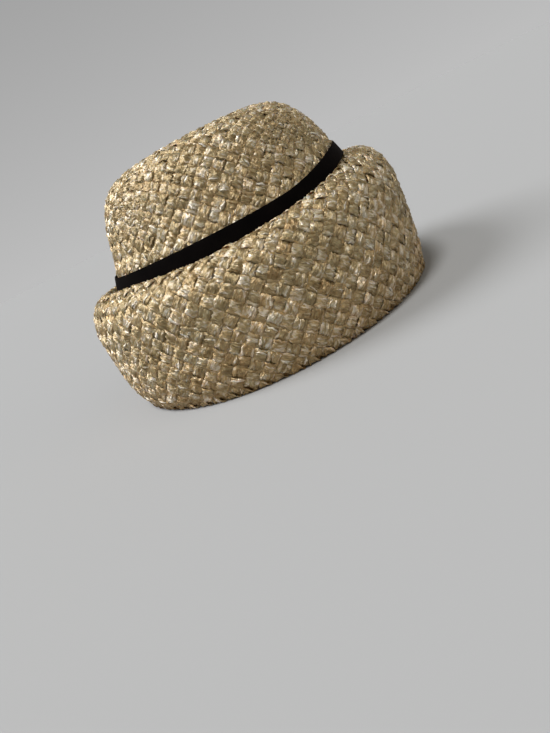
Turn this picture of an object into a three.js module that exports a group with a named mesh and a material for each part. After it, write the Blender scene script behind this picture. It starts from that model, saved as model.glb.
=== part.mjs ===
// A woman's hat of woven straw: a rounded crown, a deep turned-down brim and a narrow ribbon band.
// Lengths are millimetres and angles degrees. +X is the front of the hat, +Y the wearer's left and +Z up,
// and the rim of the brim stands on Z = 0.
import * as THREE from "three";

// Woven straw and ribbon.
const STRAW_WALL = 2.4;
const PIECE_GAP = 0.3;
const STRAW_COLOUR = "#cdb893";
const STRAW_ROUGHNESS = 0.55;
const RIBBON_COLOUR = "#120d0c";
const RIBBON_ROUGHNESS = 0.95;

// How finely the hat is faceted: steps round it, and sections up each piece.
const TURN_STEPS = 60;
const CROWN_SECTIONS = 15;
const GROOVE_SECTIONS = 5;
const SHOULDER_SECTIONS = 6;
const SKIRT_SECTIONS = 7;

// Three ovals carry the shape: the band line, where the crown meets the brim, the widest line of the brim
// and the rim. Tilt lifts the front, and taper narrows the front of the oval and widens its back.
const BAND_LINE = { halfLength: 108, halfWidth: 101.5, forward: 3.5, height: 96, tilt: 3.3, taper: 0 };
const WIDEST_LINE = { halfLength: 142.5, halfWidth: 133, forward: 0, height: 70.5, tilt: 3.3, taper: 0 };
const RIM_LINE = { halfLength: 136, halfWidth: 125.5, forward: 5, height: 0, tilt: 0, taper: 0.045 };

// The crown rises square to the band line and leans in as it goes, to a broad top with rounded corners.
const CROWN_RISE = 77;
const CROWN_LEAN = 0.16; // share of its width that the wall loses by the top
const CROWN_WALL_POWER = 3.4; // a higher power keeps the wall straight for longer
const CROWN_TOP_POWER = 6.7; // a higher power makes the top flatter
const CROWN_TOP_TURN = -2.5; // how much less than the band line the top is tilted
const CROWN_SPREAD = 4.2; // how far the foot spreads at the back
const CROWN_SPREAD_REACH = 0.45; // share of the rise at which the spread has faded out
const CROWN_DOME = 1; // gentle rise of the top towards its middle
const CROWN_FOOT = 8; // the crown's edge goes on below the band line, inside the brim

// The seam of crown and brim follows the band line, but dips at the sides and climbs towards the front.
const SEAM_DIP = 1.4;
const SEAM_CLIMB_FRONT = 10.8; // above the dip
const SEAM_CLIMB_BACK = 2.6;
const SEAM_FRONT_REACH = 0.9; // cosine of the turn at which the climb is complete
const SEAM_DEPTH = 4; // the brim's edge reaches this far below the seam, and clears the crown there

// The brim dips to a groove under the band, rolls over a crest and falls to its widest line.
const GROOVE_DEPTH = 1.5; // below the seam
const GROOVE_FLAT = 0.16; // share of the way from crown to crest that stays flat
const CREST_SHARE = 2 / 3; // place of the crest, as a share of the way from the widest line to the crown
const CREST_RISE_FRONT = 8; // above the band line
const CREST_RISE_SIDES = 3.1;
const CREST_RISE_BACK = 5.8;
const CREST_FRONT_REACH = [-0.1, 0.6]; // cosines of the turn between which the crest climbs from sides to front
const CREST_BACK_REACH = [0.45, 0.95];
const SKIRT_POWER = 4.3; // a higher power keeps the skirt upright for longer, and turns it in nearer the rim
const HEM_THICKNESS = 4.4; // the weave is turned under and doubled at the rim
const HEM_HEIGHT = 13;
const HEM_ROUND = 1.2;

// The ribbon hugs the crown at its upper edge and stands off a little at its foot and at the back.
const BAND_THICKNESS = 1;
const BAND_BACK_SLACK = 0.8;
const BAND_SECTIONS = [
  { rise: 0.4, standOff: 1.3 },
  { rise: 4.4, standOff: 0.8 },
  { rise: 8.7, standOff: 0.4 },
  { rise: 13.1, standOff: 0.3 },
];

const radians = THREE.MathUtils.degToRad;

// A point of an oval at an angle round the hat, 0 at the front.
function ovalPoint(oval, turn) {
  const along = oval.halfLength * Math.cos(turn);
  const across = oval.halfWidth * Math.sin(turn) * (1 - oval.taper * Math.cos(turn));
  const tilt = radians(oval.tilt);
  return new THREE.Vector3(
    oval.forward + along * Math.cos(tilt),
    across,
    oval.height + along * Math.sin(tilt),
  );
}

// An oval with both its half sizes made larger.
function widened(oval, by) {
  return { ...oval, halfLength: oval.halfLength + by, halfWidth: oval.halfWidth + by };
}

// One closed ring of points, from a function of the angle.
function ring(pointAt) {
  return Array.from({ length: TURN_STEPS }, (_, i) => pointAt((2 * Math.PI * i) / TURN_STEPS));
}

// A closed body through rings of points. A ring of one point is a pole. Without poles the last ring joins the
// first, which makes a ring-shaped body. The rings run up the outside and down the inside.
function loft(rings) {
  const hasPoles = rings[0].length === 1;
  const starts = [];
  const points = [];
  for (const one of rings) {
    starts.push(points.length);
    points.push(...one);
  }
  const index = [];
  const bands = hasPoles ? rings.length - 1 : rings.length;
  for (let r = 0; r < bands; r += 1) {
    const next = (r + 1) % rings.length;
    for (let i = 0; i < TURN_STEPS; i += 1) {
      const j = (i + 1) % TURN_STEPS;
      const here = rings[r].length === 1 ? [starts[r], starts[r]] : [starts[r] + i, starts[r] + j];
      const there = rings[next].length === 1 ? [starts[next], starts[next]] : [starts[next] + i, starts[next] + j];
      if (here[0] !== here[1]) index.push(here[0], here[1], there[1]);
      if (there[0] !== there[1]) index.push(here[0], there[1], there[0]);
    }
  }
  const geometry = new THREE.BufferGeometry().setFromPoints(points);
  geometry.setIndex(index);
  geometry.computeVertexNormals();
  return geometry;
}

// The crown's width at a share of its rise, as a share of the width at the band line.
function crownShare(level) {
  const corner = (1 - level ** CROWN_WALL_POWER) ** (1 / CROWN_TOP_POWER);
  return (1 - CROWN_LEAN * level) * corner;
}

// The oval of the crown's skin at a share of its rise. Inset moves the skin inwards, for the inner face. The
// spread moves the back of the oval and leaves its front.
function crownOval(level, inset) {
  const share = crownShare(Math.max(level, 0));
  const rise = (CROWN_RISE - inset) * level + CROWN_DOME * Math.max(level, 0) * (1 - share * share);
  const spread = CROWN_SPREAD * (1 - THREE.MathUtils.smoothstep(level, 0, CROWN_SPREAD_REACH));
  const tilt = radians(BAND_LINE.tilt);
  return {
    halfLength: (BAND_LINE.halfLength - inset) * share + spread / 2,
    halfWidth: (BAND_LINE.halfWidth - inset) * share,
    forward: BAND_LINE.forward - rise * Math.sin(tilt) - spread / 2,
    height: BAND_LINE.height + rise * Math.cos(tilt),
    tilt: BAND_LINE.tilt + CROWN_TOP_TURN * Math.max(level, 0),
    taper: 0,
  };
}

// Shares of the crown's rise that are evenly spaced along its curve, from the band line almost to the pole.
function crownLevels() {
  const fine = 600;
  const curve = new THREE.CurvePath();
  const profile = Array.from({ length: fine + 1 }, (_, i) => {
    const level = Math.sin((Math.PI / 2) * (i / fine)) ** (2 / CROWN_WALL_POWER);
    return new THREE.Vector2(BAND_LINE.halfLength * crownShare(level), CROWN_RISE * level);
  });
  for (let i = 0; i < fine; i += 1) curve.add(new THREE.LineCurve(profile[i], profile[i + 1]));
  const even = curve.getSpacedPoints(CROWN_SECTIONS);
  return even.slice(0, -1).map((point) => point.y / CROWN_RISE);
}

// The crown: one wall, up the outside from the lapped foot to the top and back down the inside.
function crownGeometry() {
  const footLevel = -CROWN_FOOT / CROWN_RISE;
  const levels = [footLevel, ...crownLevels()];
  const skin = (level, inset) => {
    const oval = crownOval(level, inset);
    return ring((turn) => ovalPoint(oval, turn));
  };
  const pole = (inset) => {
    const top = crownOval(1, inset);
    return [new THREE.Vector3(top.forward, 0, top.height)];
  };
  const outside = levels.map((level) => skin(level, 0));
  const inside = levels.map((level) => skin(level, STRAW_WALL));
  return loft([pole(STRAW_WALL), ...inside.reverse(), ...outside, pole(0)]);
}

// How far the seam lies above the band line at an angle round the hat.
function seamRise(turn) {
  const front = THREE.MathUtils.smoothstep(Math.cos(turn), 0, SEAM_FRONT_REACH);
  const back = THREE.MathUtils.smoothstep(-Math.cos(turn), 0, 1);
  return SEAM_CLIMB_FRONT * front + SEAM_CLIMB_BACK * back - SEAM_DIP;
}

// A point of the crown's skin at a rise above the seam, moved outwards by a gap.
function overSeam(rise, turn, gap) {
  return ovalPoint(widened(crownOval((seamRise(turn) + rise) / CROWN_RISE, 0), gap), turn);
}

// How far the brim's crest lies above the band line at an angle round the hat.
function crestRise(turn) {
  const front = THREE.MathUtils.smoothstep(Math.cos(turn), ...CREST_FRONT_REACH);
  const back = THREE.MathUtils.smoothstep(-Math.cos(turn), ...CREST_BACK_REACH);
  return CREST_RISE_SIDES
    + (CREST_RISE_FRONT - CREST_RISE_SIDES) * front
    + (CREST_RISE_BACK - CREST_RISE_SIDES) * back;
}

// A point of the brim's outer skin. Stage runs 0 to 1 from the crown up the groove to the crest, 1 to 2 over the
// shoulder to the widest line, and 2 to 3 down the skirt to the rim.
function brimPoint(stage, turn) {
  const widest = ovalPoint(WIDEST_LINE, turn);
  if (stage >= 2) {
    const drop = stage - 2;
    const point = widest.clone().lerp(ovalPoint(RIM_LINE, turn), drop ** SKIRT_POWER);
    point.z = widest.z * (1 - drop);
    return point;
  }
  const tilt = radians(WIDEST_LINE.tilt);
  const up = new THREE.Vector3(-Math.sin(tilt), 0, Math.cos(tilt));
  const bandRise = ovalPoint(BAND_LINE, turn).sub(widest).dot(up);
  const inward = overSeam(-SEAM_DEPTH, turn, PIECE_GAP).sub(widest);
  const grooveRise = inward.dot(up) + SEAM_DEPTH - GROOVE_DEPTH;
  inward.addScaledVector(up, -inward.dot(up));
  const crest = bandRise + crestRise(turn);
  let share;
  let rise;
  if (stage <= 1) {
    const climb = Math.max(0, (stage - GROOVE_FLAT) / (1 - GROOVE_FLAT));
    share = THREE.MathUtils.lerp(1, CREST_SHARE, stage);
    rise = THREE.MathUtils.lerp(grooveRise, crest, (1 - Math.cos(Math.PI * climb)) / 2);
  } else {
    const fall = (Math.PI / 2) * (2 - stage);
    share = CREST_SHARE * (1 - Math.cos(fall));
    rise = crest * Math.sin(fall);
  }
  return widest.addScaledVector(inward, share).addScaledVector(up, rise);
}

// A point under the brim's skin, at a depth square to it.
function underBrim(stage, turn, depth) {
  const step = 0.01;
  const lowest = Math.max(0, stage - step);
  const highest = Math.min(3, stage + step);
  const downSkin = brimPoint(highest, turn).sub(brimPoint(lowest, turn));
  const roundSkin = brimPoint(stage, turn + step).sub(brimPoint(stage, turn - step));
  const outward = roundSkin.cross(downSkin).normalize().negate();
  return brimPoint(stage, turn).addScaledVector(outward, -depth);
}

// The brim: one wall from the groove to the rim, with a doubled hem that has a flat foot.
function brimGeometry() {
  const stages = [
    ...Array.from({ length: GROOVE_SECTIONS }, (_, i) => i / GROOVE_SECTIONS),
    ...Array.from({ length: SHOULDER_SECTIONS }, (_, i) => 1 + i / SHOULDER_SECTIONS),
    ...Array.from({ length: SKIRT_SECTIONS }, (_, i) => 2 + i / SKIRT_SECTIONS),
  ];
  const skirtStage = (height) => 3 - height / WIDEST_LINE.height;
  const outside = [...stages, skirtStage(HEM_ROUND)].map((stage) => ring((turn) => brimPoint(stage, turn)));
  const rimAt = (inset, height) => ring((turn) => {
    const point = ovalPoint(widened(RIM_LINE, -inset), turn);
    point.z = height;
    return point;
  });
  const foot = [
    rimAt(HEM_ROUND, 0),
    rimAt(HEM_THICKNESS - HEM_ROUND, 0),
    rimAt(HEM_THICKNESS, HEM_ROUND),
  ];
  const hemTop = [
    ring((turn) => underBrim(skirtStage(HEM_HEIGHT), turn, HEM_THICKNESS)),
    ring((turn) => underBrim(skirtStage(HEM_HEIGHT + HEM_ROUND), turn, STRAW_WALL)),
  ];
  const inside = stages
    .filter((stage) => stage < skirtStage(HEM_HEIGHT + 2 * HEM_ROUND))
    .map((stage) => ring((turn) => underBrim(stage, turn, STRAW_WALL)));
  return loft([...outside, ...foot, ...hemTop, ...inside.reverse()].reverse());
}

// The ribbon: a thin ring that follows the foot of the crown along the seam.
function bandGeometry() {
  const slack = (turn) => BAND_BACK_SLACK * Math.max(-Math.cos(turn), 0) ** 4;
  const face = (section, thickness) => (
    ring((turn) => overSeam(section.rise, turn, section.standOff + slack(turn) + thickness))
  );
  const outside = BAND_SECTIONS.map((section) => face(section, BAND_THICKNESS));
  const inside = BAND_SECTIONS.map((section) => face(section, 0));
  return loft([...outside, ...inside.reverse()]);
}

// One named piece with its material.
function piece(name, geometry, colour, roughness) {
  const material = new THREE.MeshStandardMaterial({ color: colour, roughness, metalness: 0 });
  const mesh = new THREE.Mesh(geometry, material);
  mesh.name = name;
  return mesh;
}

const hat = new THREE.Group();
hat.add(
  piece("crown", crownGeometry(), STRAW_COLOUR, STRAW_ROUGHNESS),
  piece("brim", brimGeometry(), STRAW_COLOUR, STRAW_ROUGHNESS),
  piece("band", bandGeometry(), RIBBON_COLOUR, RIBBON_ROUGHNESS),
);

export default hat;
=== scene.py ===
"""A woman's hat of plaited straw with a black velvet ribbon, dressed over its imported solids. Lengths are
metres and angles degrees, +X is the front of the hat and the rim stands on Z = 0."""

import bpy
import numpy as np
from mathutils import Matrix, Vector


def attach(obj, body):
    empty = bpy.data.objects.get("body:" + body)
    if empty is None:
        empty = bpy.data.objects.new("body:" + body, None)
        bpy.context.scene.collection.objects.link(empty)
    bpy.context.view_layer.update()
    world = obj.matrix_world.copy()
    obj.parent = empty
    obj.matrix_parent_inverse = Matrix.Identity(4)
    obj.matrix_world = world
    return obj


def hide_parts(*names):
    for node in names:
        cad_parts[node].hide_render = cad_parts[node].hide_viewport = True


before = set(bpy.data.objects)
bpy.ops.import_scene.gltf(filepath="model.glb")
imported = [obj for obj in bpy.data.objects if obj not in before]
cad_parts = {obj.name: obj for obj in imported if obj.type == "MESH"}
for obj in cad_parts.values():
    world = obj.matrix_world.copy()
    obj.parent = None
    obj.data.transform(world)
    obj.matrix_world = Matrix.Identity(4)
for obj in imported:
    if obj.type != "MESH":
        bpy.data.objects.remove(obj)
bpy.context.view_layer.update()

# The crown: glossy straw strips plaited on the bias, over one and under one, and blocked to a rounded form.
# The plait starts at the tip as a square mat, whose four corners turn down at the shoulder into closed
# points, and runs to a raw foot that is lapped inside the brim.
BAND_LINE = {
    "half_length": 0.108, "half_width": 0.1015, "forward": 0.0035, "height": 0.096, "tilt": 3.3, "taper": 0,
}
CROWN_RISE = 0.077
CROWN_LEAN = 0.16  # share of its width that the wall loses by the top
CROWN_WALL_POWER = 3.4
CROWN_TOP_POWER = 6.7
CROWN_TOP_TURN = -2.5
CROWN_SPREAD = 0.0042  # how far the foot spreads at the back
CROWN_SPREAD_REACH = 0.45  # share of the rise at which the spread has faded out
CROWN_DOME = 0.001
CROWN_FOOT = 0.008
SEAM_DIP = 0.0014
SEAM_CLIMB_FRONT = 0.0108  # above the dip
SEAM_CLIMB_BACK = 0.0026
SEAM_FRONT_REACH = 0.9  # cosine of the turn at which the climb to the front is over
CROWN_MEAN = (BAND_LINE["half_length"] + BAND_LINE["half_width"]) / 2
TIP_HALF = 13  # strips between the middle of the mat at the tip and each of its corners
CROWN_RINGS = 14  # rows of crossings from the mat's border down to the foot
RINGS_HELD = 8  # rows at the foot that keep their even spacing
TIP_TURN = 22.5  # where the first corner of the mat lies, round from the front
STRIP_SPACING = 0.0080  # between crossings where the plait is free to settle


def oval_point(oval, turn):
    """A tilted oval: its half sizes times the cosine and sine of the turn, with the length laid along the
    tilt."""
    tilt = np.radians(oval["tilt"])
    along = oval["half_length"] * np.cos(turn)
    across = oval["half_width"] * np.sin(turn) * (1 - oval["taper"] * np.cos(turn))
    forward = oval["forward"] + along * np.cos(tilt)
    return np.stack([forward, across, oval["height"] + along * np.sin(tilt)], -1)


def crown_profile(steps=4000):
    """The crown's section from the foot to the pole: level, width as a share of the band line, rise, and
    the length run so far, all as shares of the crown's mean half width except the level and the width."""
    level = np.sin(np.linspace(0, np.pi / 2, steps)) ** (2 / CROWN_WALL_POWER)
    corner = (1 - level ** CROWN_WALL_POWER) ** (1 / CROWN_TOP_POWER)
    level = np.r_[-CROWN_FOOT / CROWN_RISE, level]
    share = np.r_[1, (1 - CROWN_LEAN * level[1:]) * corner]
    rise = CROWN_RISE * level + CROWN_DOME * np.maximum(level, 0) * (1 - share ** 2)
    height = rise / CROWN_MEAN
    run = np.r_[0, np.cumsum(np.hypot(np.diff(share), np.diff(height)))]
    return {"level": level, "share": share, "height": height, "run": run}


crown = crown_profile()


def smooth_step(value, first, last):
    """0 up to the first value, 1 from the last, and 3 t^2 - 2 t^3 between them."""
    t = np.clip((value - first) / (last - first), 0, 1)
    return t * t * (3 - 2 * t)


def crown_skin(run, turn):
    """The crown's outer skin at a length along its section and a turn: an oval that shrinks by the share of
    the width, climbs square to the band line, spreads at the back of its foot and lies flatter as it
    climbs."""
    level = np.interp(run, crown["run"], crown["level"])
    share = np.interp(run, crown["run"], crown["share"])
    rise = np.interp(run, crown["run"], crown["height"]) * CROWN_MEAN
    base = np.radians(BAND_LINE["tilt"])
    tilt = np.radians(BAND_LINE["tilt"] + CROWN_TOP_TURN * np.maximum(level, 0))
    spread = CROWN_SPREAD / 2 * (1 - smooth_step(level, 0, CROWN_SPREAD_REACH))
    along = (BAND_LINE["half_length"] * share + spread) * np.cos(turn)
    return np.stack([
        BAND_LINE["forward"] - rise * np.sin(base) - spread + along * np.cos(tilt),
        BAND_LINE["half_width"] * share * np.sin(turn),
        BAND_LINE["height"] + rise * np.cos(base) + along * np.sin(tilt),
    ], -1)


def seam_rise(turn):
    """How far the seam of crown and brim lies above the band line: it dips at the sides and climbs by
    smooth steps of the cosine of the turn, much to the front and little to the back."""
    front = smooth_step(np.cos(turn), 0, SEAM_FRONT_REACH)
    back = smooth_step(-np.cos(turn), 0, 1)
    return SEAM_CLIMB_FRONT * front + SEAM_CLIMB_BACK * back - SEAM_DIP


def unit(vectors):
    """The vectors divided by their lengths."""
    return vectors / np.linalg.norm(vectors, axis=-1, keepdims=True)


def outward(skin, run, turn, step=0.004):
    """A skin's outward direction: its step round the hat crossed with its step up, from central
    differences."""
    around = skin(run, turn + step) - skin(run, turn - step)
    up = skin(run + step, turn) - skin(run - step, turn)
    return unit(np.cross(around, up))


def plait(half, rings):
    """The crossings of a plait with a square tip, numbered: first those of the tip, |u| + |v| <= half at
    odd halves, then rings of 4 * half crossings, each between two of the ring before. A strip runs straight
    across the tip and on down the rings, half a place round for each ring. Returns the number of crossings,
    the tip's places, the tip's border in order, and each strip's crossings with the side, 1 over or -1
    under, of the first."""
    odd = np.arange(-half, half) + 0.5
    u, v = np.meshgrid(odd, odd, indexing="ij")
    inside = np.abs(u) + np.abs(v) <= half
    number = np.full(u.shape, -1)
    number[inside] = np.arange(inside.sum())
    around = 4 * half
    place = np.arange(around) % half
    border_u, border_v = half - 0.5 - place, 0.5 + place
    for quarter in range(1, 4):
        later = np.arange(around) >= quarter * half
        border_u[later], border_v[later] = -border_v[later], border_u[later]

    def tip_number(a, b):
        return number[np.rint(a + half - 0.5).astype(int), np.rint(b + half - 0.5).astype(int)]

    def ring_number(ring, at):
        return inside.sum() + (ring - 1) * around + at % around

    border = tip_number(border_u, border_v)
    below = np.arange(1, rings + 1)
    strips = []
    for line in odd:
        reach = np.arange(-(half - abs(line)), half - abs(line) + 0.5)
        first, last = (
            int(np.flatnonzero(border == tip_number(line, end))[0]) for end in (reach[0], reach[-1])
        )
        drift_first, drift_last = (below, 0 * below) if line > 0 else (0 * below, below)
        for quarter in (0, 1):
            across = line + 0 * reach
            core = tip_number(across, reach) if quarter == 0 else tip_number(-reach, across)
            head = ring_number(below, first + quarter * half - drift_first)
            tail = ring_number(below, last + quarter * half - drift_last)
            even = int(line + reach[0] if quarter == 0 else line - reach[0]) % 2 == 0
            side = 1 if even != (rings % 2 == 1) else -1
            side = side if quarter == 0 else -side
            strips.append({"crossings": np.r_[head[::-1], core, tail], "side": side})
    return inside.sum() + rings * around, np.stack([u[inside], v[inside]], -1), border, strips


def on_profile(run, turn):
    """The crown as a plain surface of revolution of unit width, on which the plait settles."""
    share = np.interp(run, crown["run"], crown["share"])
    height = np.interp(run, crown["run"], crown["height"])
    return np.stack([share * np.cos(turn), share * np.sin(turn), height], -1)


def to_profile(points, centre=0.2):
    """The run and the turn of the points' shadows on that surface, thrown from a centre inside it."""
    angles = np.arctan2(crown["share"], crown["height"] - centre)[::-1]
    angle = np.arctan2(np.hypot(points[..., 0], points[..., 1]), points[..., 2] - centre)
    return np.interp(angle, angles, crown["run"][::-1]), np.arctan2(points[..., 1], points[..., 0])


def settled_crossings(rounds=800, push=0.22, evening=0.35):
    """Where the crown's strips cross. The rings start square, a row's climb over its radius being half the
    turn between crossings, and the tip starts as a round net. Each round then draws every free crossing
    along its strips by the steps to its neighbours, part evening them out and part pulling them to the
    strips' spacing."""
    count, tip, border, strips = plait(TIP_HALF, CROWN_RINGS)
    around = 4 * TIP_HALF
    middle = (crown["share"][1:] + crown["share"][:-1]) / 2
    climb = np.r_[0, np.cumsum(np.diff(crown["run"]) / np.maximum(middle, 1e-3))]
    ring_run = np.interp((CROWN_RINGS - np.arange(CROWN_RINGS + 1)) * np.pi / around, climb, crown["run"])
    reach = np.hypot(tip[:, 0], tip[:, 1]) / np.hypot(tip[:, 0], tip[:, 1]).max()
    pole = crown["run"][-1]
    points = np.zeros((count, 3))
    points[:len(tip)] = on_profile(pole - (pole - ring_run[0]) * reach, np.arctan2(tip[:, 1], tip[:, 0]))
    places = np.arange(around) + 0.5
    points[border] = on_profile(np.full(around, ring_run[0]), places * 2 * np.pi / around)
    for ring in range(1, CROWN_RINGS + 1):
        start = len(tip) + (ring - 1) * around
        turn = (places + ring / 2) * 2 * np.pi / around
        points[start:start + around] = on_profile(np.full(around, ring_run[ring]), turn)
    free = np.arange(count) < count - RINGS_HELD * around
    ends = np.vstack([np.stack([s["crossings"][:-1], s["crossings"][1:]], -1) for s in strips])
    for _ in range(rounds):
        steps = points[ends[:, 1]] - points[ends[:, 0]]
        length = np.linalg.norm(steps, axis=1, keepdims=True)
        pull = steps * (evening + (1 - evening) * (1 - STRIP_SPACING / CROWN_MEAN / length))
        moves = np.zeros_like(points)
        np.add.at(moves, ends[:, 0], pull)
        np.add.at(moves, ends[:, 1], -pull)
        points[free] += push * moves[free]
        points[free] = on_profile(*to_profile(points[free]))
    return points, strips


def smooth_curve(knots, at):
    """A Catmull-Rom curve through the knots, read at whole and broken knot numbers."""
    padded = np.vstack([2 * knots[:1] - knots[1:2], knots, 2 * knots[-1:] - knots[-2:-1]])
    first = np.minimum(at.astype(int), len(knots) - 2)
    t = (at - first)[:, None]
    a, b, c, d = (padded[first + k] for k in range(4))
    cubic = (3 * b - a - 3 * c + d) * t ** 3
    return (2 * b + (c - a) * t + (2 * a - 5 * b + 4 * c - d) * t ** 2 + cubic) / 2


CLOTH_DEPTH = 0.0015  # from the hat's skin to the middle of the plait
FLOOR_CLEARANCE = 0.0002
STEPS_PER_CELL = 8  # sections of a strip from one crossing to the next
STRIP_THICKNESS = 0.00032
STRIP_SHARE = 1.1  # of the room between its neighbours that a strip fills
STRIP_BULGE = 0.07  # share more where it floats, and less where it runs under
STRIP_UNEVEN = 0.05  # share more and less as it goes along
WEAVE_LIFT = 0.0003  # of a strip over the middle of the plait where it crosses another
FLOAT_DOME = 0.0011  # how much the middle of a float stands above its edges
DIVE_DOME = 0.0004  # how much the middle of a strip lies below its edges where it runs under
FLOAT_TILT = 11.0  # how far single floats lean, either way
FLOAT_CHANGE = (0.3, 0.7)  # of the way to the next float, where its lean and tone take over
SWERVE = 0.0005  # of a strip off its middle line, to either side
RAGGED = 0.0005  # of its edges and pleats, to either side
PLEAT = 0.0007  # height of a full pleat
PLEAT_MEAN = 0.55  # share of the full height that a pleat has
PLEAT_CHANGE = 0.35
CRINKLE = 0.00035  # height of the finer folds, up and down
CRINKLE_FADE = 0.6  # share of the pleats and crinkles that is gone at the edges
PERIODS = {  # of the noise along a strip, in cells
    "width": (3.7, 1.9, 1.1), "pleats": (3.1, 1.7), "folds": (0.9, 0.55, 0.36),
    "edges": (1.3, 0.7, 0.4), "swerve": (6.3, 3.4), "tint": (7.0, 4.0),
}
NOISE_GAIN = 1.4  # on the mean of a few sines, so that it comes near 1 at its peaks
TINT = {"mean": 0.35, "spread": 0.28, "change": 0.15}
PATTERN_STARTS = 200  # cells over which the starts of the strips' patterns are spread
ACROSS = np.array([-6, -4, -2, 0, 2, 4, 6, 3, 0, -3]) / 6  # round a strip's section: place across
FACE = np.array([0, 1, 1, 1, 1, 1, 0, -1, -1, -1])  # edge, upper face or lower face
COLUMN = np.array([0, 1, 2, 3, 4, 5, 6, 4, 3, 2])  # point of the upper face at or above it
TOP_COLUMNS = 6  # steps across the upper face
LOBES = np.array([0, 1, -1, 1, -1, 1, 0])  # three pleats to a strip, by column


def wander(rng, at, shape, periods):
    """Smooth noise along a strip: the mean of sines of a few periods, in cells, each at a phase of its
    own."""
    total = 0
    for period in periods:
        phase = rng.uniform(0, 2 * np.pi, shape)
        total = total + np.sin(2 * np.pi * at.reshape(-1, *(1,) * len(shape)) / period + phase)
    return total / len(periods) * NOISE_GAIN


def by_float(rng, at, spread):
    """Noise that is steady over each float and goes by a smooth step to the next one's value in between."""
    values = rng.uniform(-spread, spread, int(at[-1]) + 3)
    first = at.astype(int)
    return values[first] + (values[first + 1] - values[first]) * smooth_step(at - first, *FLOAT_CHANGE)


def strip(rng, middle, normal, room, at, side):
    """One straw strip along its middle line: a flat closed section of 10 points, carried along the line. It
    waves over and under by a flattened cosine of the cell number, bulges where it floats, and is crinkled
    lengthwise. Its colour holds the tone, half by strip and half by float, the tint, and how far it is over
    or under."""
    wave = side * np.cos(np.pi * at)
    over = wave * (1.5 - 0.5 * wave ** 2)
    along = unit(np.gradient(middle, axis=0))
    sideways = unit(np.cross(normal, along))
    uneven = STRIP_UNEVEN * wander(rng, at, (), PERIODS["width"])
    half = room / 2 * (STRIP_SHARE + STRIP_BULGE * over + uneven)
    lean = np.tan(np.radians(by_float(rng, at, FLOAT_TILT)))
    lobes = LOBES * (PLEAT_MEAN + PLEAT_CHANGE * wander(rng, at, LOBES.shape, PERIODS["pleats"]))
    folds = wander(rng, at, LOBES.shape, PERIODS["folds"])
    crinkle = (PLEAT * lobes + CRINKLE * folds)[:, COLUMN]
    x = half[:, None] * ACROSS
    dome = np.where(over > 0, FLOAT_DOME, DIVE_DOME)[:, None] * (1 - ACROSS ** 2)
    z = over[:, None] * (WEAVE_LIFT + dome) + crinkle * (1 - CRINKLE_FADE * ACROSS ** 2)
    z = z + x * lean[:, None] + FACE * STRIP_THICKNESS / 2
    x = x + RAGGED * wander(rng, at, LOBES.shape, PERIODS["edges"])[:, COLUMN]
    x = x + SWERVE * wander(rng, at, (1,), PERIODS["swerve"])
    points = middle[:, None] + sideways[:, None] * x[..., None] + normal[:, None] * z[..., None]
    points[..., 2] = np.maximum(points[..., 2], FLOOR_CLEARANCE)
    tone = (rng.uniform(0, 1) + (1 + by_float(rng, at, 1.0)) / 2) / 2
    tint = np.clip(rng.normal(TINT["mean"], TINT["spread"]), 0, 1)
    tint = tint + TINT["change"] * wander(rng, at, (), PERIODS["tint"])
    start = rng.uniform(0, PATTERN_STARTS)
    uv = np.stack(np.broadcast_arrays(start + at[:, None], (ACROSS + 1) / 2), -1)
    upness = over * 0.5 + 0.5
    colour = np.stack(np.broadcast_arrays(tone[:, None], tint[:, None], upness[:, None], 1 + 0 * x), -1)
    return {"points": points, "uv": uv, "colour": colour, "normal": normal, "over": over}


SPLINTER_SHARE = 0.28  # of the floats that have one
SPLINTER_WIDTH = 0.0019
SPLINTER_WIDTHS = (0.5, 1.2)  # least and most, as shares of that width
SPLINTER_HEIGHT = 0.00025
SPLINTER_LIFT = 0.0009  # of a splinter's loose end, at most
SPLINTER_SECTIONS = (7, 10)  # of its strip that it runs over; these three pairs stop short of their ends
SPLINTER_LEAD = (3, 5)  # sections from its start to the float's crest
SPLINTER_SHIFT = (-1, 2)  # sections that it is moved by
SPLINTER_PLACE = 0.75  # furthest place of its middle, as a share of the strip's half width
SPLINTER_SLANT = 0.5  # most that it moves across, as a share of the half width
SPLINTER_EDGE = 0.95  # furthest place of any of it
SPLINTER_BLUNT = 0.05  # share of the half sine cut off at each end
SPLINTER_TONE = 1.35  # lighter than any strip
SPLINTER_TINT = 0.6  # share of its strip's tint


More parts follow.
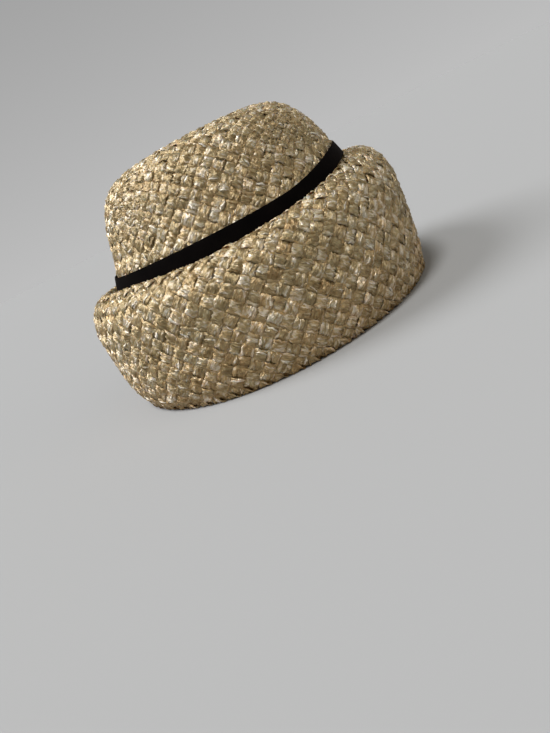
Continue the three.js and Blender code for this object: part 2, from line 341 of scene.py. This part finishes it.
def splinters(strips, seed):
    """Fibres split off the strips' floats, as slivers of a three-sided section. Each lies along its float
    and a little across it, narrows to both ends by half a sine, and stands off by the square of the way to
    one end."""
    rng = np.random.default_rng([3, seed])
    made = []
    for one in strips:
        over, normal = one["over"], one["normal"]
        crests = np.flatnonzero((over[1:-1] > over[:-2]) & (over[1:-1] >= over[2:])) + 1
        for crest in crests[rng.random(len(crests)) < SPLINTER_SHARE]:
            first = crest + rng.integers(*SPLINTER_SHIFT) - rng.integers(*SPLINTER_LEAD)
            rows = np.arange(first, first + rng.integers(*SPLINTER_SECTIONS))
            t = np.linspace(0, 1, len(rows))
            place = rng.uniform(-SPLINTER_PLACE, SPLINTER_PLACE)
            place = place + rng.uniform(-SPLINTER_SLANT, SPLINTER_SLANT) * (t - 0.5)
            place = (np.clip(place, -SPLINTER_EDGE, SPLINTER_EDGE) + 1) * TOP_COLUMNS / 2
            lift = rng.uniform(0, SPLINTER_LIFT) * (t if rng.random() < 0.5 else 1 - t) ** 2
            half_width = rng.uniform(*SPLINTER_WIDTHS) * SPLINTER_WIDTH / 2
            if rows[0] < 0 or rows[-1] >= len(over):
                continue
            column = place.astype(int)
            share = (place - column)[:, None]
            line = one["points"][rows, column] * (1 - share) + one["points"][rows, column + 1] * share
            line = line + normal[rows] * lift[:, None]
            taper = np.sin(np.pi * (SPLINTER_BLUNT + (1 - 2 * SPLINTER_BLUNT) * t))[:, None]
            sideways = unit(one["points"][rows, TOP_COLUMNS] - one["points"][rows, 0]) * half_width * taper
            ridge = line + normal[rows] * SPLINTER_HEIGHT * taper
            points = np.stack([line - sideways, ridge, line + sideways], 1)
            points[..., 2] = np.maximum(points[..., 2], FLOOR_CLEARANCE)
            uv = np.repeat(one["uv"][rows, column][:, None], 3, axis=1)
            colour = np.repeat(one["colour"][rows, column][:, None], 3, axis=1)
            colour = colour * (0, SPLINTER_TINT, 0, 1) + (SPLINTER_TONE, 0, 1, 0)
            made.append({"points": points, "uv": uv, "colour": colour})
    return made


def strips_object(name, strips, material):
    """One mesh of many strips: four-sided faces along each section, and one face across each end."""
    points, uv, colour, faces = [], [], [], []
    start = 0
    for one in strips:
        rows, ring = one["points"].shape[:2]
        grid = start + np.arange(rows * ring).reshape(rows, ring)
        following = np.roll(grid, -1, axis=1)
        quads = np.stack([grid[:-1], grid[1:], following[1:], following[:-1]], -1).reshape(-1, 4)
        faces += quads.tolist() + [grid[0].tolist(), grid[-1, ::-1].tolist()]
        points.append(one["points"].reshape(-1, 3))
        uv.append(one["uv"].reshape(-1, 2))
        colour.append(one["colour"].reshape(-1, 4))
        start += rows * ring
    mesh = bpy.data.meshes.new(name)
    mesh.from_pydata(np.vstack(points), [], faces)
    corner = np.zeros(len(mesh.loops), np.int32)
    mesh.loops.foreach_get("vertex_index", corner)
    layer = mesh.uv_layers.new(name="along_and_across")
    layer.data.foreach_set("uv", np.vstack(uv)[corner].astype(np.float32).ravel())
    tint = mesh.color_attributes.new("straw", "FLOAT_COLOR", "POINT")
    tint.data.foreach_set("color", np.vstack(colour).astype(np.float32).ravel())
    mesh.shade_smooth()
    mesh.materials.append(material)
    piece = bpy.data.objects.new(name, mesh)
    bpy.context.scene.collection.objects.link(piece)
    return piece


def add_node(tree, kind, inputs=None, **settings):
    """A shader node with its settings, and each input given as a value or as another node's output."""
    node = tree.nodes.new(kind)
    for key, value in settings.items():
        setattr(node, key, value)
    for key, value in (inputs or {}).items():
        if isinstance(value, bpy.types.NodeSocket):
            tree.links.new(value, node.inputs[key])
        else:
            node.inputs[key].default_value = value
    return node


def colour_ramp(tree, factor, stops):
    """A colour ramp with the given stops of position and colour."""
    ramp = add_node(tree, "ShaderNodeValToRGB", {"Fac": factor})
    while len(ramp.color_ramp.elements) < len(stops):
        ramp.color_ramp.elements.new(0.5)
    for element, (position, colour) in zip(ramp.color_ramp.elements, stops):
        element.position = position
        element.color = (*colour, 1)
    return ramp.outputs["Color"]


STRIP_MILLIMETRES = 9.0  # a cell's length and a strip's width, for slopes
FLAKES = {"scale": (1.1, 4.5, 1.0), "slopes": (0.16, 0.55)}  # scale: patches along a cell and across a strip
CHIPS = {"scale": (3.0, 9.0, 1.0), "slopes": (0.18, 0.34)}
FIBRES = {"scale": (2.0, 9.0, 1.0), "detail": 2.0}
MOTTLE = {"scale": (1.6, 2.4, 1.0), "detail": 3.0}
TONE_SHARES = {"strip": 0.2, "mottle": 0.4, "flake": 0.24, "chip": 0.15, "fibre": 0.5}
TONE_BASE = -0.27  # brings the sum of the shares onto the colour ramps
FIBRE_RELIEF = 0.85  # millimetres, of the fibres' part of the bump
PALE_STRAW = [(0.2, (0.17, 0.11, 0.035)), (0.5, (0.42, 0.322, 0.168)), (0.75, (0.86, 0.778, 0.645))]
WARM_STRAW = [(0.2, (0.20, 0.115, 0.035)), (0.5, (0.48, 0.33, 0.155)), (0.75, (0.88, 0.745, 0.58))]
# Painted glow: a warm brown mixed into the straw's colour where strips dive under others, standing in for
# light let through the straw and bounced into the crevices.
PAINTED_CREVICE_GLOW = (0.5, 0.33, 0.14, 1)
RIM_BOUNCE_HEIGHT = 0.07  # height below which painted warm bounce light from below is added to the straw's colour
TINT_SHIFT_AND_RIM_BOUNCE = {"above": -0.3, "at rim": 0.6}  # to a strip's own tint: a steady shift above that height, and painted warm bounce light growing to the rim


def straw_material():
    """Glossy split straw: its colour runs from olive brown to cream by strip, by float and in streaks along
    it, and from pale to warm by strip, with painted warm bounce light added towards the rim. Where strips
    dive, a painted warm brown glow stands for light let through the straw and bounced between the strips."""
    material = bpy.data.materials.new("Champagne straw")
    material.use_nodes = True
    tree = material.node_tree
    shader = tree.nodes["Principled BSDF"]
    uv = add_node(tree, "ShaderNodeUVMap", uv_map="along_and_across").outputs["UV"]
    straw = add_node(tree, "ShaderNodeAttribute", attribute_name="straw").outputs["Color"]
    parts = add_node(tree, "ShaderNodeSeparateColor", {"Color": straw}).outputs

    def stretch(scale):
        return add_node(tree, "ShaderNodeMapping", {"Vector": uv, "Scale": scale}).outputs["Vector"]

    def streaks(scale, detail):
        inputs = {"Vector": stretch(scale), "Scale": 1.0, "Detail": detail}
        return add_node(tree, "ShaderNodeTexNoise", inputs).outputs["Fac"]

    def blend(kind, a, b):
        return add_node(tree, "ShaderNodeMath", {0: a, 1: b}, operation=kind).outputs[0]

    def blend_vectors(kind, a, b):
        return add_node(tree, "ShaderNodeVectorMath", {0: a, 1: b}, operation=kind).outputs

    def mix(factor, a, b):
        return add_node(tree, "ShaderNodeMix", {0: factor, 6: a, 7: b}, data_type="RGBA").outputs[2]

    def facets(scale, slopes):
        """Flat patches, each tilted its own way: height = the patch's random slopes . the step from its
        middle, in millimetres. Returns the height and a random value for each patch."""
        place = stretch(scale)
        inputs = {"Vector": place, "Scale": 1.0}
        cells = add_node(tree, "ShaderNodeTexVoronoi", inputs, voronoi_dimensions="2D").outputs
        step = blend_vectors("SUBTRACT", place, cells["Position"])[0]
        lean = blend_vectors("SUBTRACT", cells["Color"], (0.5, 0.5, 0.5))[0]
        steepest = [2 * slope * STRIP_MILLIMETRES / patches for slope, patches in zip(slopes, scale)]
        tilt = blend_vectors("MULTIPLY", lean, (*steepest, 0))[0]
        value = add_node(tree, "ShaderNodeSeparateColor", {"Color": cells["Color"]}).outputs["Blue"]
        return blend_vectors("DOT_PRODUCT", tilt, step)["Value"], value

    flakes, flake_value = facets(**FLAKES)
    chips, chip_value = facets(**CHIPS)
    fibres = streaks(**FIBRES)
    mottle = streaks(**MOTTLE)
    sources = {
        "strip": parts["Red"], "mottle": mottle, "flake": flake_value, "chip": chip_value, "fibre": fibres,
    }
    tone = TONE_BASE
    for key, share in TONE_SHARES.items():
        tone = blend("ADD", tone, blend("MULTIPLY", sources[key], share))
    place = add_node(tree, "ShaderNodeTexCoord").outputs["Object"]
    level = add_node(tree, "ShaderNodeSeparateXYZ", {"Vector": place}).outputs["Z"]
    # Painted warm bounce light: below a set height the straw's colour grows warmer towards the rim; above it
    # the tint is only shifted.
    tint_and_painted_bounce = add_node(tree, "ShaderNodeMapRange", {
        "Value": level, "From Min": RIM_BOUNCE_HEIGHT, "From Max": 0.0,
        "To Min": TINT_SHIFT_AND_RIM_BOUNCE["above"], "To Max": TINT_SHIFT_AND_RIM_BOUNCE["at rim"],
    }).outputs["Result"]
    warmth = blend("ADD", parts["Green"], tint_and_painted_bounce)
    straw_colour = mix(warmth, colour_ramp(tree, tone, PALE_STRAW), colour_ramp(tree, tone, WARM_STRAW))
    # Painted glow in the crevices: the lower a strip dives, the more of the warm brown glow colour is mixed
    # in.
    painted_glow_share = add_node(tree, "ShaderNodeMapRange", {
        "Value": parts["Blue"], "From Min": 0.25, "From Max": 0.75, "To Min": 0.8, "To Max": 0.0,
    }).outputs["Result"]
    tree.links.new(mix(painted_glow_share, straw_colour, PAINTED_CREVICE_GLOW), shader.inputs["Base Color"])
    rough = add_node(tree, "ShaderNodeMapRange", {"Value": mottle, "To Min": 0.36, "To Max": 0.52})
    tree.links.new(rough.outputs["Result"], shader.inputs["Roughness"])
    relief = blend("ADD", blend("ADD", flakes, chips), blend("MULTIPLY", fibres, FIBRE_RELIEF))
    bump = add_node(tree, "ShaderNodeBump", {"Height": relief, "Strength": 1.0, "Distance": 0.001})
    tree.links.new(bump.outputs["Normal"], shader.inputs["Normal"])
    grain = add_node(tree, "ShaderNodeTangent", direction_type="UV_MAP", uv_map="along_and_across")
    tree.links.new(grain.outputs["Tangent"], shader.inputs["Tangent"])
    shader.inputs["Anisotropic"].default_value = 1.0
    shader.inputs["Anisotropic Rotation"].default_value = 0.25
    shader.inputs["Metallic"].default_value = 0.55
    shader.inputs["IOR"].default_value = 1.55
    shader.inputs["Specular IOR Level"].default_value = 0.6
    shader.inputs["Subsurface Weight"].default_value = 0.3
    shader.inputs["Subsurface Radius"].default_value = (1.0, 0.5, 0.2)
    shader.inputs["Subsurface Scale"].default_value = 0.0015
    return material


def crown_strips():
    """The crown's strips, each a smooth curve through its settled crossings. The room for a strip is the
    part of the other strip's step that lies square to it."""
    crossings, lines = settled_crossings()
    steps = np.zeros((len(crossings), 2, 3))
    seen = np.zeros(len(crossings), int)
    for line in lines:
        numbers = line["crossings"]
        line["visit"] = seen[numbers].copy()
        steps[numbers, line["visit"]] = np.gradient(crossings[numbers], axis=0)
        seen[numbers] += 1
    made = []
    for seed, line in enumerate(lines):
        rng = np.random.default_rng([1, seed])
        numbers = line["crossings"]
        own = unit(steps[numbers, line["visit"]])
        other = steps[numbers, 1 - line["visit"]]
        square = other - own * (other * own).sum(-1, keepdims=True)
        at = np.linspace(0, len(numbers) - 1, STEPS_PER_CELL * (len(numbers) - 1) + 1)
        room = np.interp(at, np.arange(len(numbers)), np.linalg.norm(square, axis=-1)) * CROWN_MEAN
        run, turn = to_profile(smooth_curve(crossings[numbers], at))
        turn = turn + np.radians(TIP_TURN)
        normal = outward(crown_skin, run, turn)
        middle = crown_skin(run, turn) - CLOTH_DEPTH * normal
        made.append(strip(rng, middle, normal, room, at, line["side"]))
    return made


straw = straw_material()
crown_made = crown_strips()
for first, word in enumerate(("one", "two", "three", "four")):
    chosen = crown_made[first::4]
    piece = strips_object(f"crown_straw_{word}", chosen + splinters(chosen, first), straw)
    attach(piece, "root")
    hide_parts("crown")

# The brim: the same straw, plaited as one wide ring. It springs from the foot of the crown, rolls over a
# crest and turns down like a bell, and its strips are turned under at the rim and end inside.
WIDEST_LINE = {
    "half_length": 0.1425, "half_width": 0.133, "forward": 0, "height": 0.0705, "tilt": 3.3, "taper": 0,
}
RIM_LINE = {
    "half_length": 0.136, "half_width": 0.1255, "forward": 0.005, "height": 0, "tilt": 0, "taper": 0.045,
}
SEAM_DEPTH = 0.004  # the brim's edge reaches this far below the seam
GROOVE_DEPTH = 0.0015
GROOVE_FLAT = 0.16  # share of the way to the crest before the brim climbs
CREST_SHARE = 2 / 3  # of the way in from the widest line to the crown
CREST_RISE_FRONT = 0.008  # above the band line
CREST_RISE_SIDES = 0.0031
CREST_RISE_BACK = 0.0058
CREST_SWELL = 0.0037  # where the brim swells a little behind the right ear
CREST_SWELL_TURN = -165
CREST_SWELL_POWER = 6
CREST_FRONT_CLIMB = (-0.1, 0.6)  # cosines of the turn between which the crest climbs to the front
CREST_BACK_CLIMB = (0.45, 0.95)
SKIRT_POWER = 4.3  # the higher, the nearer to the rim the skirt leans in
BRIM_STRIPS = 66  # leaning each way
HEM_ROUND = 0.001  # of the fold at the rim, to the middle of the plait
HEM_FOLD_HEIGHT = 0.0019  # of the fold's centre
HEM_HEIGHT = 0.013


def crest_height(turn):
    """How far the brim's crest lies above the band line: smooth steps of the cosine of the turn, and a
    swell by a power of the cosine of the turn from its middle."""
    front = (CREST_RISE_FRONT - CREST_RISE_SIDES) * smooth_step(np.cos(turn), *CREST_FRONT_CLIMB)
    back = (CREST_RISE_BACK - CREST_RISE_SIDES) * smooth_step(-np.cos(turn), *CREST_BACK_CLIMB)
    swell = CREST_SWELL * np.maximum(np.cos(turn - np.radians(CREST_SWELL_TURN)), 0) ** CREST_SWELL_POWER
    return CREST_RISE_SIDES + front + back + swell


def brim_skin(stage, turn):
    """The brim's outer skin. Stage 0 to 1 runs from the crown up the groove to the crest by half a cosine
    wave, 1 to 2 over the shoulder by a quarter of an ellipse, and 2 to 3 down the skirt, which leans in to
    the rim by a power of its drop."""
    stage, turn = np.broadcast_arrays(stage, turn)
    widest = oval_point(WIDEST_LINE, turn)
    drop = np.clip(stage - 2, 0, 1)
    skirt = widest + (oval_point(RIM_LINE, turn) - widest) * (drop ** SKIRT_POWER)[..., None]
    skirt[..., 2] = widest[..., 2] * (1 - drop)
    tilt = np.radians(WIDEST_LINE["tilt"])
    up = np.array([-np.sin(tilt), 0, np.cos(tilt)])
    edge = np.interp((seam_rise(turn) - SEAM_DEPTH) / CROWN_RISE, crown["level"], crown["run"])
    inward = crown_skin(edge, turn) - widest
    groove_floor = inward @ up + SEAM_DEPTH - GROOVE_DEPTH
    inward = inward - (inward @ up)[..., None] * up
    crest_rise = (oval_point(BAND_LINE, turn) - widest) @ up + crest_height(turn)
    climb = np.clip((stage - GROOVE_FLAT) / (1 - GROOVE_FLAT), 0, 1)
    groove_rise = groove_floor + (crest_rise - groove_floor) * (1 - np.cos(np.pi * climb)) / 2
    fall = np.pi / 2 * (2 - np.clip(stage, 1, 2))
    share = np.where(stage <= 1, 1 + (CREST_SHARE - 1) * stage, CREST_SHARE * (1 - np.cos(fall)))
    rise = np.where(stage <= 1, groove_rise, crest_rise * np.sin(fall))
    shoulder = widest + inward * share[..., None] + up * rise[..., None]
    return np.where((stage > 2)[..., None], skirt, shoulder)


def brim_section(steps=1500):
    """How far the plait climbs round the hat, for its length over its radius, against the stage of the
    skin, the turn of the fold and the climb back inside. The three follow one another along a strip."""
    fold_stage = 3 - HEM_FOLD_HEIGHT / WIDEST_LINE["height"]
    stage = np.linspace(0, fold_stage, steps)
    turns = np.radians(np.arange(0, 360, 30))
    points = brim_skin(stage[:, None], turns)
    length = np.linalg.norm(np.diff(points, axis=0), axis=-1).mean(1)
    radius = np.hypot(points[..., 0], points[..., 1]).mean(1)
    outside = np.r_[0, np.cumsum(length / (radius[1:] + radius[:-1]) * 2)]
    fold = np.pi * HEM_ROUND / radius[-1]
    inside = HEM_HEIGHT / radius[-1]
    return {"stage": stage, "climb": outside, "fold": fold, "inside": inside}


section = brim_section()


def brim_cloth(climb, turn):
    """The middle of the brim's plait and its outward direction at a climb and a turn: under the skin by the
    cloth's depth, round the fold on a half circle, and back up inside with the plait's face turned
    inwards."""
    rim = section["climb"][-1]
    past = np.clip((climb - rim) / section["fold"], 0, 1)
    back = np.clip((climb - rim - section["fold"]) / section["inside"], 0, 1)
    stage = np.interp(climb, section["climb"], section["stage"]) - back * HEM_HEIGHT / WIDEST_LINE["height"]
    step = 0.004
    down = unit(brim_skin(stage + step, turn) - brim_skin(stage - step, turn))
    around = unit(brim_skin(stage, turn + step) - brim_skin(stage, turn - step))
    face = unit(np.cross(down, around))
    swing = (np.pi * past)[..., None]
    normal = np.cos(swing) * face + np.sin(swing) * down
    centre = brim_skin(stage, turn) - (CLOTH_DEPTH + HEM_ROUND) * face
    return centre + HEM_ROUND * normal, normal


def brim_strips(lean):
    """The brim's strips that lean one way: straight lines of the climb against the turn, so they cross the
    others squarely. The room for a strip is its neighbour's step round the hat, less what lies along the
    strip."""
    cell = np.pi / BRIM_STRIPS
    whole = section["climb"][-1] + section["fold"] + section["inside"]
    at = np.linspace(0, whole / cell, int(np.ceil(whole / cell * STEPS_PER_CELL)))
    climb = at * cell
    made = []
    for number in range(BRIM_STRIPS):
        rng = np.random.default_rng([2, number, 1 + lean])
        turn = 2 * np.pi * number / BRIM_STRIPS + lean * climb
        middle, normal = brim_cloth(climb, turn)
        ahead, _ = brim_cloth(climb, turn + cell / 2)
        behind, _ = brim_cloth(climb, turn - cell / 2)
        neighbour = 2 * (ahead - behind)
        own = unit(np.gradient(middle, axis=0))
        room = np.linalg.norm(neighbour - own * (neighbour * own).sum(-1, keepdims=True), axis=-1)
        made.append(strip(rng, middle, normal, room, at, lean))
    return made


for lean, words, seed in ((1, "left", 4), (-1, "right", 6)):
    made = brim_strips(lean)
    for half, half_name in enumerate(("front", "back")):
        chosen = made[half * BRIM_STRIPS // 2:(half + 1) * BRIM_STRIPS // 2]
        chosen = chosen + splinters(chosen, seed + half)
        piece = strips_object(f"brim_straw_{words}_{half_name}", chosen, straw)
        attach(piece, "root")
        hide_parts("brim")

# The band: a ribbon of black velvet 12.7 mm wide, laid round the foot of the crown over its seam with the
# brim. It is drawn tight at its upper edge and stands off a little at its foot.
BAND_THICKNESS = 0.001
BAND_RISE = 0.0004
BAND_WIDTH = 0.0127
BAND_STAND_OFF = {"foot": 0.0015, "top": 0.0006, "back": 0.0008}
BAND_BACK_POWER = 4
BAND_SQUARENESS = {"height": 0.6, "thickness": 0.35}  # roots: the smaller, the sharper the ribbon's corners
BAND_TURNS = 360
BAND_SIDES = 20


def band_mesh():
    """The ribbon: a flat section with rounded edges, carried round the crown's oval. Its height is the
    cosine and its thickness the sine of the section's angle, each flattened by a root."""
    turn = np.linspace(0, 2 * np.pi, BAND_TURNS, endpoint=False)[:, None]
    angle = np.linspace(0, 2 * np.pi, BAND_SIDES, endpoint=False)[None]
    up = (np.sign(np.cos(angle)) * np.abs(np.cos(angle)) ** BAND_SQUARENESS["height"] + 1) / 2
    out = np.sign(np.sin(angle)) * np.abs(np.sin(angle)) ** BAND_SQUARENESS["thickness"] / 2
    turn, up, out = np.broadcast_arrays(turn, up, out)
    level = (seam_rise(turn) + BAND_RISE + BAND_WIDTH * up) / CROWN_RISE
    run = np.interp(level, crown["level"], crown["run"])
    face = outward(crown_skin, run, turn)
    stand_off = BAND_STAND_OFF["foot"] + (BAND_STAND_OFF["top"] - BAND_STAND_OFF["foot"]) * up
    stand_off = stand_off + BAND_STAND_OFF["back"] * np.maximum(-np.cos(turn), 0) ** BAND_BACK_POWER
    points = crown_skin(run, turn) + face * (stand_off + BAND_THICKNESS * (0.5 + out))[..., None]
    grid = np.arange(BAND_TURNS * BAND_SIDES).reshape(BAND_TURNS, BAND_SIDES)
    across = np.roll(grid, -1, axis=1)
    around = np.roll(grid, -1, axis=0)
    faces = np.stack([grid, across, np.roll(across, -1, axis=0), around], -1).reshape(-1, 4)
    mesh = bpy.data.meshes.new("ribbon")
    mesh.from_pydata(points.reshape(-1, 3), [], faces.tolist())
    mesh.shade_smooth()
    return mesh


PILE_SCALE = 2600.0  # to the metre, of the pile's tufts
WORN_SCALE = 45.0  # of worn places


def velvet_material():
    """Black velvet: a matt, nearly black ground with a short pile that catches light at grazing angles."""
    material = bpy.data.materials.new("Black velvet")
    material.use_nodes = True
    tree = material.node_tree
    shader = tree.nodes["Principled BSDF"]
    place = add_node(tree, "ShaderNodeTexCoord").outputs["Object"]
    pile, worn = (
        add_node(tree, "ShaderNodeTexNoise", {"Vector": place, "Scale": scale, "Detail": 3.0}).outputs["Fac"]
        for scale in (PILE_SCALE, WORN_SCALE)
    )
    tone = add_node(tree, "ShaderNodeMath", {0: pile, 1: worn}, operation="MULTIPLY").outputs[0]
    shade = colour_ramp(tree, tone, [(0.15, (0.001, 0.0008, 0.0008)), (0.5, (0.005, 0.0035, 0.003))])
    tree.links.new(shade, shader.inputs["Base Color"])
    bump = add_node(tree, "ShaderNodeBump", {"Height": pile, "Strength": 0.5, "Distance": 0.0003})
    tree.links.new(bump.outputs["Normal"], shader.inputs["Normal"])
    shader.inputs["Roughness"].default_value = 0.95
    shader.inputs["Specular IOR Level"].default_value = 0.03
    shader.inputs["Sheen Weight"].default_value = 0.02
    shader.inputs["Sheen Roughness"].default_value = 0.4
    shader.inputs["Sheen Tint"].default_value = (0.5, 0.4, 0.36, 1)
    return material


ribbon = bpy.data.objects.new("ribbon", band_mesh())
ribbon.data.materials.append(velvet_material())
bpy.context.scene.collection.objects.link(ribbon)
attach(ribbon, "root")
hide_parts("band")

# The setting: a plain pale floor, a pale room and large soft lights.
FLOOR_HALF = 12.0
floor_mesh = bpy.data.meshes.new("floor")
floor_mesh.from_pydata([(-FLOOR_HALF, -FLOOR_HALF, 0), (FLOOR_HALF, -FLOOR_HALF, 0),
                        (FLOOR_HALF, FLOOR_HALF, 0), (-FLOOR_HALF, FLOOR_HALF, 0)], [], [(0, 1, 2, 3)])
floor = bpy.data.objects.new("floor", floor_mesh)
bpy.context.scene.collection.objects.link(floor)
floor_material = bpy.data.materials.new("Pale floor")
floor_material.use_nodes = True
floor_shader = floor_material.node_tree.nodes["Principled BSDF"]
floor_shader.inputs["Base Color"].default_value = (0.31, 0.312, 0.306, 1)
floor_shader.inputs["Roughness"].default_value = 0.9
floor_shader.inputs["Specular IOR Level"].default_value = 0.1
floor_mesh.materials.append(floor_material)

HORIZON = (0.51, 0.51, 0.51)
ZENITH = (0.11, 0.11, 0.11)
world = bpy.data.worlds.new("Pale room")
bpy.context.scene.world = world
world.use_nodes = True
sky = world.node_tree
direction = add_node(sky, "ShaderNodeTexCoord").outputs["Generated"]
height = add_node(sky, "ShaderNodeSeparateXYZ", {"Vector": direction}).outputs["Z"]
sky.links.new(colour_ramp(sky, height, [(0, HORIZON), (1, ZENITH)]), sky.nodes["Background"].inputs["Color"])

LIGHTS = [
    {"name": "window light", "azimuth": 150, "elevation": 46, "spread": 30,
     "strength": 2.75, "tint": (0.98, 0.99, 1.04)},
    {"name": "ceiling light", "azimuth": -150, "elevation": 68, "spread": 15,
     "strength": 2.25, "tint": (1.0, 1.0, 1.02)},
    {"name": "side light", "azimuth": -65, "elevation": 40, "spread": 60,
     "strength": 0.55, "tint": (1.0, 0.9, 0.76)},
]


def direction_to(azimuth, elevation):
    """The unit vector at an azimuth, from +X towards +Y, and an elevation above the floor, both in
    degrees."""
    azimuth, elevation = np.radians([azimuth, elevation])
    return np.array([
        np.cos(azimuth) * np.cos(elevation),
        np.sin(azimuth) * np.cos(elevation),
        np.sin(elevation),
    ])


for entry in LIGHTS:
    lamp = bpy.data.lights.new(entry["name"], "SUN")
    lamp.energy = entry["strength"]
    lamp.angle = np.radians(entry["spread"])
    lamp.color = entry["tint"]
    holder = bpy.data.objects.new(entry["name"], lamp)
    toward = Vector(direction_to(entry["azimuth"], entry["elevation"]))
    holder.location = toward
    holder.rotation_euler = (-toward).to_track_quat("-Z", "Y").to_euler()
    bpy.context.scene.collection.objects.link(holder)

# The camera, as the photograph sees the hat: a little behind its right side, about level with the band,
# and rolled, so that the hat's rim climbs to the right.
PICTURE = (550, 733)
SENSOR = 36.0
FOCAL_PIXELS = 550.0
CAMERA_AIM = (0, 0, 0.09)
CAMERA_DISTANCE = 0.485
CAMERA_AZIMUTH = -22.5  # from the hat's right side, less than 0 being towards its back
CAMERA_ELEVATION = 5.1
CAMERA_ROLL = 26.7
HAT_PIXEL = (236.1, 234.7)  # where the point that the camera aims at lies in the picture


def camera_matrix():
    """The camera stands off the aim by its azimuth and elevation and is rolled about the line to the aim. A
    turn that carries its own axis to the ray through the hat's pixel then moves the hat off the middle of
    the picture."""
    roll = np.radians(CAMERA_ROLL)
    back = direction_to(CAMERA_AZIMUTH - 90, CAMERA_ELEVATION)
    right = unit(np.cross(-back, (0, 0, 1)))
    up = np.cross(right, -back)
    rolled = np.array([
        np.cos(roll) * right - np.sin(roll) * up,
        np.sin(roll) * right + np.cos(roll) * up,
        -back,
    ])
    ray = Vector((HAT_PIXEL[0] - PICTURE[0] / 2, PICTURE[1] / 2 - HAT_PIXEL[1], FOCAL_PIXELS))
    swing = np.array(Vector((0, 0, 1)).rotation_difference(ray).to_matrix())
    axes = swing @ rolled
    matrix = np.eye(4)
    matrix[:3, 0], matrix[:3, 1], matrix[:3, 2] = axes[0], axes[1], -axes[2]
    matrix[:3, 3] = np.array(CAMERA_AIM) + CAMERA_DISTANCE * back
    return matrix


lens = bpy.data.cameras.new("camera")
lens.sensor_width = SENSOR
lens.lens = FOCAL_PIXELS * SENSOR / max(PICTURE)
lens.clip_start = 0.01
camera = bpy.data.objects.new("camera", lens)
camera.matrix_world = Matrix(camera_matrix().tolist())
bpy.context.scene.collection.objects.link(camera)
bpy.context.scene.camera = camera
bpy.context.scene.view_settings.view_transform = "Standard"
